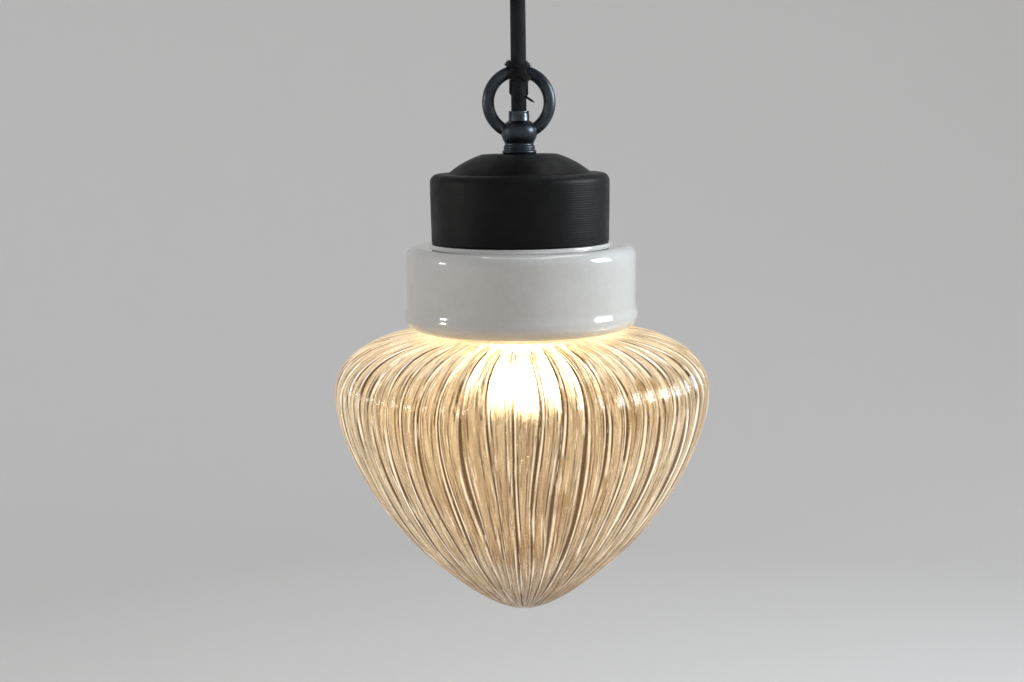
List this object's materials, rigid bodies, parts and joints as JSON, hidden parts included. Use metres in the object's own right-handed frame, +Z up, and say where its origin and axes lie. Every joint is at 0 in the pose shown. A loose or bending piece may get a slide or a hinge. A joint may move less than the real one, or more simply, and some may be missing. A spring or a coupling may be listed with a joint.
{
  "type": "pendant ceiling light",
  "caption": "Pendant lamp: ribbed clear acorn glass shade screwed into a porcelain collar under a turned black cap, hung by a lashed textile cord from a ceiling cup.",
  "frame": {"origin": "centre of the ceiling face, where the bracket meets the ceiling", "axes": "+Z up into the ceiling, the lamp hangs along -Z; +X along the bracket and the hanging ring's plane; -Y is the front, where the cord passes the ring's bar"},
  "size_m": [0.1824, 0.1828, 0.3518],
  "materials": {
    "black_paint": "satin",
    "zinced_steel": "satin",
    "white_plastic": "matte",
    "brass": "satin",
    "textile": "matte",
    "brown_core": "satin",
    "blue_core": "satin",
    "bush_rubber": "matte",
    "twine": "matte",
    "dark_casting": "satin",
    "black_cap": "satin",
    "white_glaze": "gloss",
    "gasket_rubber": "matte",
    "fibre": "matte",
    "clear_glass": "gloss",
    "bulb_glass": "gloss",
    "bulb_metal": "satin",
    "black_glass": "gloss",
    "hot_wire": "matte"
  },
  "bodies": {
    "ceiling": {"ceiling_bracket": "zinced_steel", "ceiling_cup": "black_paint", "cup_screws": "zinced_steel", "terminal_block": "white_plastic", "terminal_clamps": "brass", "terminal_screw": "zinced_steel", "cord_grip": "black_paint", "grip_nut": "zinced_steel", "grip_screw": "zinced_steel", "ceiling_cord_end": "textile", "ceiling_cores": "brown_core"},
    "bush": {"grip_bush": "bush_rubber"},
    "pendant": {"cord": "textile", "cord_lashing": "twine", "hanging_ring": "dark_casting", "threaded_tube": "zinced_steel", "top_cap": "black_cap", "tube_washer": "zinced_steel", "tube_nuts": "brass", "fixing_strap": "zinced_steel", "collar_screws": "zinced_steel", "collar_nuts": "zinced_steel", "collar_washers": "fibre", "cord_clamp": "white_plastic", "lamp_cores": "blue_core", "porcelain_collar": "white_glaze", "holder_body": "white_glaze", "holder_shell": "brass", "holder_terminals": "brass", "holder_screws": "zinced_steel"},
    "contact": {"centre_contact": "brass"},
    "gasket": {"shade_gasket": "gasket_rubber"},
    "shade": {"glass_shade": "clear_glass"},
    "tip": {"bulb_tip": "bulb_metal"},
    "bulb": {"bulb_insulator": "black_glass", "bulb_cap": "bulb_metal", "bulb_globe": "bulb_glass", "bulb_stem": "bulb_glass", "bulb_filament": "hot_wire"}
  },
  "joints": [
    {"name": "cord_twist", "type": "hinge", "parent": "ceiling", "child": "bush", "pos_m": [0, 0, -0.048], "axis": [0, 0, 1], "range_deg": [-45, 45], "stiffness_Nm_per_rad": 0.02},
    {"name": "lamp_swing", "type": "hinge", "parent": "bush", "child": "pendant", "pos_m": [0, 0, -0.048], "axis": [1, 0, 0], "range_deg": [-20, 20]},
    {"name": "contact_press", "type": "slide", "parent": "pendant", "child": "contact", "axis": [0, 0, 1], "range_m": [0, 0.0008], "stiffness_N_per_m": 2000, "springref_m": -0.001},
    {"name": "shade_drop", "type": "slide", "parent": "pendant", "child": "gasket", "axis": [0, 0, -1], "range_m": [0, 0.0121]},
    {"name": "shade_turn", "type": "hinge", "parent": "gasket", "child": "shade", "pos_m": [0, 0, -0.21], "axis": [0, 0, -1], "range_deg": [0, 720]},
    {"name": "bulb_drop", "type": "slide", "parent": "pendant", "child": "tip", "axis": [0, 0, -1], "range_m": [0, 0.0219]},
    {"name": "bulb_turn", "type": "hinge", "parent": "tip", "child": "bulb", "pos_m": [0, 0, -0.2], "axis": [0, 0, -1], "range_deg": [0, 2160]}
  ],
  "couplings": [
    {"joint": "shade_drop", "follows": "shade_turn", "m_per_rad": 0.00095493},
    {"joint": "bulb_drop", "follows": "bulb_turn", "m_per_rad": 0.00057773}
  ]
}
